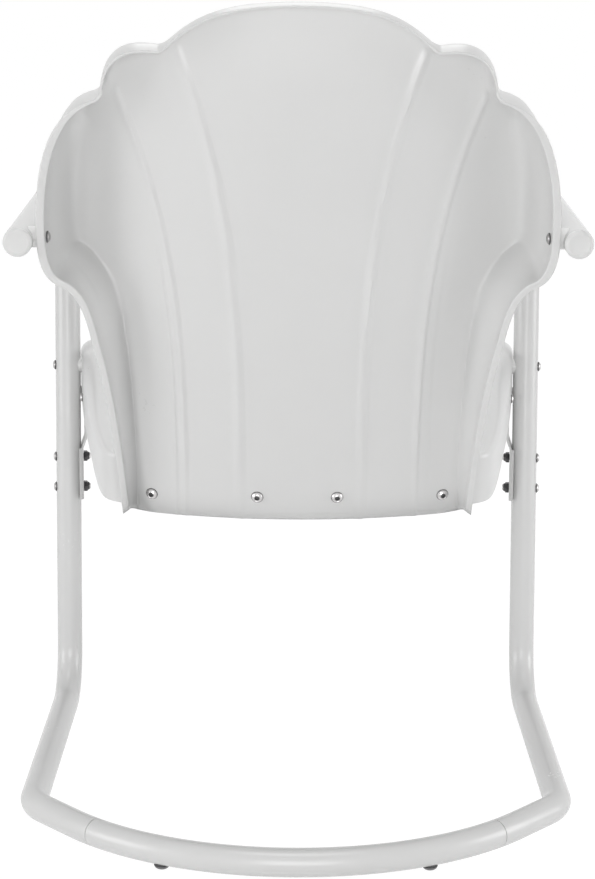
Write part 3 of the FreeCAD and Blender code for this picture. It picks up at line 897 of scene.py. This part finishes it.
# Seat brackets. Each is a T of steel plate, bent twice and painted: two bolts hold its stem to
# the leg's inner side, and two small screws hold its wide end inside the seat's skirt.
bracket_sheet = 2.5 * mm
bracket_bolt_z = (303 * mm, 266 * mm)
leg_bolt_z = 414.5 * mm
leg_gap = 0.3 * mm
tab_gap = 0.8 * mm
lip_width = 2.6 * mm
stem_top = 317 * mm
stem_edge = 14
least_fold = 0.2

# The plate's rows from below, in millimetres: height, 0 on the leg or 1 on the skirt, and
# how far its front and rear edge lie from the leg's axis.
bracket_rows = ((253, 0, -9, 15), (265, 0, -14, 16), (316, 0, -14, 16), (328, 1, -14, 16),
                (352, 1, -14, 16), (368, 1, -30, 30), (390, 1, -30, 30))


def leg_axis(z):
    return side_point(-(z - foot_z) * tan(leg_lean), z)


skirt_reach = leg_axis(leg_bolt_z).y - leg_foot_y
skirt_taper = seat_half(skirt_reach - mm, leg_bolt_z) - seat_half(skirt_reach + mm, leg_bolt_z)
skirt_turn = atan(skirt_taper / (2 * mm))
outward = Vector((cos(skirt_turn), sin(skirt_turn), 0))
along_skirt = Vector((-sin(skirt_turn), cos(skirt_turn), 0))
skirt_place = Vector((seat_half(skirt_reach, leg_bolt_z), leg_axis(leg_bolt_z).y, leg_bolt_z))
skirt_distance = (leg_axis(leg_bolt_z) - skirt_place).dot(outward)


def bracket_plate():
    """The left plate's outer face: stem, folds, wide end, and a lip behind the stem."""
    bm = bmesh.new()
    base = leg_axis(sum(bracket_bolt_z) / 2)
    layers = (-tube_r - leg_gap, (skirt_place - base).dot(outward) - sheet - tab_gap)
    rim = []
    for z, layer, front, back_end in bracket_rows:
        start = base + outward * layers[layer] + Vector((0, 0, z * mm - base.z))
        places = [start + along_skirt * (part * mm) for part in (front, back_end)]
        if not rim:
            rim = [bm.edges.new([bm.verts.new(place) for place in places])]
            continue
        verts = sorted(grow(bm, rim), key=lambda vert: vert.co.dot(along_skirt))
        for vert, place in zip(verts, places):
            vert.co = place
        rim = edges_among(bm, verts)
    behind = (base + along_skirt * stem_edge * mm).dot(along_skirt)
    rear_side = [edge for edge in bm.edges
                 if all(vert.co.z < stem_top and vert.co.dot(along_skirt) > behind for vert in edge.verts)]
    run_straight(bm, rear_side, outward * lip_width)
    bm.normal_update()
    folds = [edge for edge in bm.edges if edge.is_manifold and edge.calc_face_angle() > least_fold]
    bmesh.ops.bevel(bm, geom=folds, offset=1.2 * mm, segments=3, profile=0.5, affect="EDGES", material=-1)
    bmesh.ops.recalc_face_normals(bm, faces=bm.faces)
    face_towards(bm, base + outward * layers[0], outward)
    return bm


# The brackets' paint is a darker copy of the white paint: painted shade for plates that sit in shade between
# leg and seat.
bracket_paint_shaded = paint("bracket_paint_shaded", (0.62, 0.62, 0.615, 1.0), 0.3)
left_bracket = bracket_plate()
for side, mesh in (("right", other_side(left_bracket)), ("left", left_bracket)):
    bracket = piece(mesh, side + "_bracket_plate", bracket_paint_shaded)
    thicken(bracket, bracket_sheet)
    plate_edge = bracket.modifiers.new("edge", "BEVEL")
    plate_edge.width = 0.4 * mm
    plate_edge.segments = 2
    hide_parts(side + "_seat_bracket")
    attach(bracket, "seat_frame")

# Screws and nuts. Steel button screws with a six-sided socket hold the back to the seat, the
# wings to the arms, and the seat and its brackets to the legs, with lock nuts on most of them.
def in_metres(**sizes):
    return {name: size * mm for name, size in sizes.items()}


m8_screw = in_metres(shank=4.0, head=6.6, height=4.0, socket=2.5, pitch=1.25)
leg_screw = in_metres(shank=4.0, head=5.8, height=3.6, socket=2.2, pitch=1.25)
m6_screw = in_metres(shank=3.0, head=5.25, height=3.3, socket=2.0, pitch=1.0)
m8_nut = in_metres(flats=6.5, height=6.5, shank=4.0)
leg_nut = in_metres(flats=5.8, height=6.5, shank=4.0)
m6_nut = in_metres(flats=5.0, height=5.0, shank=3.0)
washer_thick = 1.6 * mm
nut_gap = 0.4 * mm
back_bolt_places = ((42.6, 353.5), (156.0, 351.5))
wing_head_x = 257.5 * mm
wing_bolt_reach = 429.9 * mm
wing_bolt_z = 640.6 * mm
bracket_screw_z = 379.0 * mm
bracket_screw_side = 22.0 * mm
dirt_and_shade_colour = (0.012, 0.012, 0.013, 1)


def steel(name, bright, gloss):
    """Plated steel, lighter and warmer in places, and dark where the shape's value is high: dirt, and painted
    shade and painted reflection.
    """
    finish = Finish(bpy.data.materials.new(name), IOR=2.2)
    cloud = finish.grain(size=2.2 * mm, detail=3.0)
    dirt_and_shade = finish.point_value("dirt_and_painted_shade") * (0.65 + 0.7 * cloud)
    light = [part * (1.12 - 0.04 * n) for n, part in enumerate(bright[:3])] + [1.0]
    metal = finish.between(cloud, bright, light)
    finish.vary("Base Color", finish.between(dirt_and_shade, metal, dirt_and_shade_colour))
    finish.vary("Metallic", 1.0 - 0.6 * dirt_and_shade)
    finish.vary("Roughness", gloss + 0.1 * cloud + 0.3 * dirt_and_shade)
    finish.relief(size=0.9 * mm, detail=2.0, depth=0.01 * mm)
    return finish.owner


def turned(profile, segments=36):
    """A part turned on the upright axis; a step is height, radius, darkness for dirt and painted shade, and
    maybe six sides.
    """
    bm = bmesh.new()
    dirt_and_painted_shade = bm.verts.layers.float.new("dirt_and_painted_shade")
    verts = bmesh.ops.create_circle(bm, segments=segments, radius=1.0)["verts"]
    for step, (height, radius, dirt_and_shade, *six) in enumerate(profile):
        if step:
            verts = grow(bm, edges_among(bm, verts))
        for vert in verts:
            angle = atan2(vert.co.y, vert.co.x)
            reach = radius / cos(angle % (pi / 3) - pi / 6) if six else radius
            vert.co = (cos(angle) * reach, sin(angle) * reach, height)
            vert[dirt_and_painted_shade] = dirt_and_shade
    close_ends(bm)
    part = bpy.data.meshes.new("turned")
    bm.to_mesh(part)
    bm.free()
    return part


def set_copies(bm, part, spots, both_sides=True):
    """Copies a turned part to each place and direction, and to the mirror image."""
    for place, direction in spots:
        for flip in ((1, -1) if both_sides else (1,)):
            start = len(bm.verts)
            bm.from_mesh(part)
            bm.verts.ensure_lookup_table()
            across = Vector((flip, 1, 1))
            bmesh.ops.transform(bm, matrix=facing(place * across, direction * across),
                                verts=bm.verts[start:])
    bpy.data.meshes.remove(part)


tip_chamfer = 0.8 * mm
thread_turns = 6
thread_steps = ((0.3, 1.0), (0.45, 1.0), (0.85, 0.87), (1.0, 0.87))
# Shares of the head's radius, and darkness: the dark outer ring is a painted reflection, with painted shade
# where the head meets the sheet.
head_steps = ((1.0, 1.0), (0.96, 0.9), (0.9, 0.35), (0.83, 0.1), (0.74, 0), (0.65, 0), (0.56, 0), (0.51, 0.1))


def screw(size, length, dirt_and_shade=0.0):
    """A button screw from its tip to its socket, threaded next to the tip."""
    shank, head, height, socket = size["shank"], size["head"], size["height"], size["socket"]
    steps = [(-length, 0.72 * shank, 0.2), (-length + tip_chamfer, 0.96 * shank, 0.2)]
    for turn in range(thread_turns):
        start = -length + tip_chamfer + turn * size["pitch"]
        for share, width in thread_steps:
            steps.append((start + share * size["pitch"], width * shank, 0.9 * (width < 1)))
    ball = (head ** 2 + height ** 2) / (2 * height)
    # Painted shade under the head and in the socket; the last argument darkens the whole head as painted
    # shade too.
    steps += [(0, shank, 0.5), (0, 0.99 * head, 1.0)]
    for share, shade in head_steps:
        rise = sqrt(ball ** 2 - (share * head) ** 2) - (ball - height)
        steps.append((rise + 0.25 * mm, share * head, min(1.0, shade + dirt_and_shade)))
    top = steps[-1][0]
    steps += [(top - 0.15 * mm, 0.46 * head, 0.3 + dirt_and_shade), (top - 0.35 * mm, 0.95 * socket, 0.8, "six"),
              (0.4 * height, 0.93 * socket, 1.0, "six")]
    return turned(steps)


def lock_nut(size):
    """Six flats, and a round collar that holds the locking ring."""
    flats, height = size["flats"], size["height"]
    # Darkness values: painted shade under the nut, in the collar's groove and in the bore.
    return turned([(0, 0.9 * flats, 0.6), (0, 0.98 * flats, 0.5, "six"), (0.3 * mm, flats, 0.2, "six"),
                   (0.62 * height, flats, 0.1, "six"), (0.7 * height, 0.95 * flats, 0.2),
                   (0.74 * height, 0.84 * flats, 0.7), (0.92 * height, 0.82 * flats, 0.3),
                   (height, 0.74 * flats, 0.3), (height, 1.02 * size["shank"], 0.9)])


def back_point(x, h, w):
    return back_foot + (Vector((1, 0, 0)) * x + up_back * h + rear_of_back * w) * mm


def back_bolt(x, z):
    """Where a bolt passes through the back, and the way its head looks."""
    bow = foot_bow * (x / foot_bow_x) ** 2
    tilt = 2 * foot_bow * x / foot_bow_x ** 2
    h = (z - back_foot.z / mm - bow * sin(recline)) / cos(recline)
    place = back_point(x, h, -bow)
    return place, (back_point(x + tilt, h, 1 - bow) - place).normalized()


def bracket_screw_place(side):
    near = leg_axis(bracket_screw_z) + along_skirt * side
    skirt = Vector((seat_half(near.y - leg_foot_y, bracket_screw_z), near.y, bracket_screw_z))
    return near - outward * (near - skirt).dot(outward)


screw_metal = ("bright_screw", steel("screw_steel", (0.6, 0.6, 0.61, 1.0), 0.18))
# The nuts' near-black base colour stands in for dark surroundings mirrored in bright plating: painted
# reflection.
nut_metal = ("zinc_steel", steel("nut_steel", (0.09, 0.09, 0.095, 1.0), 0.25))
clamped = 2 * sheet + seat_gap + nut_gap
plate_back = tube_r + leg_gap + bracket_sheet
skirt_inside = skirt_distance + sheet + nut_gap
tab_back = sheet + tab_gap + bracket_sheet + nut_gap
back_spots = [back_bolt(*place) for place in back_bolt_places]
wing_place = Vector((wing_head_x, side_point(wing_bolt_reach, 0).y, wing_bolt_z))
leg_spots = [(leg_axis(leg_bolt_z), outward)]
bracket_spots = [(leg_axis(z), outward) for z in bracket_bolt_z]
skirt_spots = [(bracket_screw_place(side), outward) for side in (-bracket_screw_side, bracket_screw_side)]
tip = 2 * mm


def heads(spots, distance):
    """Screw heads this far out along their bolts' lines."""
    return [(place + way * distance, way) for place, way in spots]


def nuts(spots, distance):
    """Nuts this far in along the same lines, facing the other way."""
    return [(place - way * distance, -way) for place, way in spots]


fasteners = (
    ("back_screws", "back_bolts", screw_metal,
     screw(m8_screw, clamped + washer_thick + m8_nut["height"] + tip), heads(back_spots, 0.05 * mm)),
    ("back_lock_nuts", "back_nuts", nut_metal,
     lock_nut(m8_nut), nuts(back_spots, clamped + washer_thick)),
    ("arm_screws", "arm_bolts", screw_metal,
     screw(m8_screw, 24 * mm, 0.35), [(wing_place, Vector((-1, 0, 0)))]),
    ("leg_screws", "leg_bolts", screw_metal,
     screw(leg_screw, tube_r + skirt_inside + washer_thick + leg_nut["height"] + tip, 0.2),
     heads(leg_spots, tube_r)),
    ("leg_lock_nuts", "leg_nuts", nut_metal,
     lock_nut(leg_nut), nuts(leg_spots, skirt_inside + washer_thick)),
    ("bracket_screws", "bracket_bolts", screw_metal,
     screw(leg_screw, tube_r + plate_back + leg_nut["height"] + tip, 0.2), heads(bracket_spots, tube_r)),
    ("bracket_lock_nuts", "bracket_nuts", nut_metal,
     lock_nut(leg_nut), nuts(bracket_spots, plate_back + nut_gap)),
    ("skirt_screws", "bracket_seat_screws", screw_metal,
     screw(m6_screw, tab_back + m6_nut["height"] + tip), heads(skirt_spots, leg_gap)),
    ("skirt_lock_nuts", "bracket_seat_nuts", nut_metal,
     lock_nut(m6_nut), nuts(skirt_spots, tab_back + nut_gap)),
)
for name, node, (slot, material), part, spots in fasteners:
    mesh = bmesh.new()
    set_copies(mesh, part, spots)
    fastener = piece(mesh, name, material, sharp=40)
    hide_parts(node)
    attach(fastener, "seat_frame")

# Arm caps. A round plastic plug closes each arm's rear end; its face has a rounded edge and a
# flat middle that lies a hair lower, and its hidden ribs grip the tube's bore.
cap_flange = 15.0 * mm
cap_plug = 12.8 * mm
cap_ribs = 4
cap_round_steps = 8


def plastic(name, shade, gloss):
    """Moulded plastic: a fine even grain, and a few cloudy dull places."""
    finish = Finish(bpy.data.materials.new(name), IOR=1.46)
    clouds = finish.grain(size=12 * mm, detail=3.0)
    finish.vary("Base Color", finish.between(clouds, darker(shade, share=0.95), shade))
    finish.vary("Roughness", gloss + 0.1 * clouds)
    finish.relief(size=0.7 * mm, detail=1.0, depth=0.01 * mm)
    return finish.owner


cap_core = 0.93 * cap_plug
cap_steps = [(-12 * mm, cap_core)]
for rib in range(cap_ribs):
    start = (-11 + 2.6 * rib) * mm
    cap_steps += [(start, cap_plug), (start + 1.0 * mm, cap_core), (start + 2.2 * mm, cap_core)]
cap_steps += [(-0.1 * mm, cap_core), (0, 0.96 * cap_flange), (0.3 * mm, cap_flange)]
for step in range(cap_round_steps):
    turn = pi / 2 * step / cap_round_steps
    cap_steps.append((0.9 * mm + 3.2 * mm * sin(turn), cap_flange - 4.2 * mm * (1 - cos(turn))))
cap_steps += [(4.1 * mm, 10.6 * mm), (4.0 * mm, 10.2 * mm), (3.92 * mm, 9.9 * mm), (3.92 * mm, 5.0 * mm)]
cap_plastic = plastic("cap_plastic", (0.72, 0.72, 0.715, 1.0), 0.34)
for side, flip in (("left", 1), ("right", -1)):
    mesh = bmesh.new()
    across = Vector((flip, 1, 1))
    part = turned([(height, radius, 0) for height, radius in cap_steps], tube_sides)
    set_copies(mesh, part, [(arm_end * across, arm_dir * across)], both_sides=False)
    cap = piece(mesh, side + "_cap_moulded", cap_plastic)
    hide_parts(side + "_arm_cap")
    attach(cap, "seat_frame")

# Glides. Two domed steel glides are screwed up into the rear cross tube and carry its weight on the floor.
# Their plating is dark, darker still where the floor scuffs it, and under the dome and at the neck, where the
# tube above shades them: painted shade.
glide_x = 138.5 * mm
glide_r = 8.2 * mm
glide_neck = 4 * mm
glide_top = bow_point(asin(glide_x / bow_r))
glide_drop = glide_top.z - tube_r
glide_steel = steel("glide_steel_worn_and_shaded", (0.2, 0.2, 0.21, 1.0), 0.22)

# From the floor up: shares of the dome's height and radius, and darkness for floor scuffs and painted shade.
glide_dome = ((0.0, 0.12, 0.9), (0.02, 0.3, 0.8), (0.1, 0.52, 0.5), (0.25, 0.72, 0.2), (0.45, 0.87, 0.1),
              (0.7, 0.96, 0.2), (0.9, 1.0, 0.8), (1.0, 1.0, 1.0), (1.05, 0.93, 1.0))
neck_start = glide_drop + 2.5 * mm
glide_steps = [(glide_drop * share, glide_r * width, dirt_and_painted_shade) for share, width, dirt_and_painted_shade in glide_dome]
glide_steps += [(neck_start, 0.93 * glide_r, 1.0), (neck_start, glide_neck, 1.0),
                (glide_top.z - 3 * mm, glide_neck, 0.5)]
mesh = bmesh.new()
set_copies(mesh, turned(glide_steps), [(Vector((glide_top.x, glide_top.y, 0)), Vector((0, 0, 1)))])
glides = piece(mesh, "glides_turned", glide_steel, sharp=40)
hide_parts("glide_screws")
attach(glides, "base")

# Spacers, washers and inserts. White plastic spacers hold the wings and the seat off the tubes;
# zinc washers and threaded inserts are out of sight, in the tubes and under the seat.
spacer_plastic = plastic("spacer_plastic", (0.78, 0.78, 0.775, 1.0), 0.36)
zinc = steel("zinc_plate", (0.48, 0.48, 0.5, 1.0), 0.38)
spacers = ("left_arm_spacer", "right_arm_spacer", "left_seat_spacer", "right_seat_spacer")
hidden_steel = ("arm_inserts", "glide_inserts", "leg_washers", "back_washers")
for names, material in ((spacers, spacer_plastic), (hidden_steel, zinc)):
    for name in names:
        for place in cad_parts[name].material_slots:
            place.material = material

# Floor and light. A white studio: pale floor and white surroundings that a glossy paint
# mirrors, and broad soft lamps on every side and above, which leave hardly a shadow.
floor_shades = ((0.86, 0.86, 0.86, 1), (0.88, 0.88, 0.88, 1))
floor_glow_share = 0.88
floor_mesh = bmesh.new()
bmesh.ops.create_grid(floor_mesh, x_segments=1, y_segments=1, size=20.0)
ground = Finish(bpy.data.materials.new("studio_floor"), Roughness=0.9)
ground.vary("Base Color", ground.between(ground.grain(size=0.5, detail=2.0), *floor_shades))
glow = ground.node("ShaderNodeEmission", {}, {"Color": (1, 1, 1, 1), "Strength": 1.1})
ground.cover(ground.mirrored() * floor_glow_share, ground.shader, glow)
floor_data = bpy.data.meshes.new("floor")
floor_mesh.to_mesh(floor_data)
floor_mesh.free()
floor_data.materials.append(ground.owner)
floor = put("floor", floor_data)

# The first strength lights the chair, the second is what is seen and mirrored.
studio = Finish(bpy.data.worlds.new("studio"))
bpy.context.scene.world = studio.owner
soft, backdrop = [studio.node("ShaderNodeBackground", {}, {"Color": (1, 1, 1, 1), "Strength": strength})
                  for strength in (0.24, 1.0)]
studio.cover(studio.mirrored(), soft, backdrop)

lamp_aim = Vector((0, 0, 0.45))
lamp_distance = 3.5


def soft_lamp(name, azimuth, elevation, power):
    """A square lamp aimed at the chair; azimuth 0 is the camera's side, 90 the view's left."""
    lamp = bpy.data.lights.new(name, "AREA")
    lamp.size = 1.8
    lamp.energy = power
    turn, lift = radians(azimuth), radians(elevation)
    towards = Vector((sin(turn) * cos(lift), cos(turn) * cos(lift), sin(lift)))
    holder = put(name, lamp)
    holder.location = lamp_aim + towards * lamp_distance
    holder.rotation_euler = towards.to_track_quat("Z", "Y").to_euler()


soft_lamp("left_lamp", 70, 5, 38)
soft_lamp("rear_lamp", 0, 5, 46.5)
soft_lamp("right_lamp", -85, 5, 42)
soft_lamp("front_lamp", 180, 50, 24)
soft_lamp("top_lamp", 0, 85, 40)
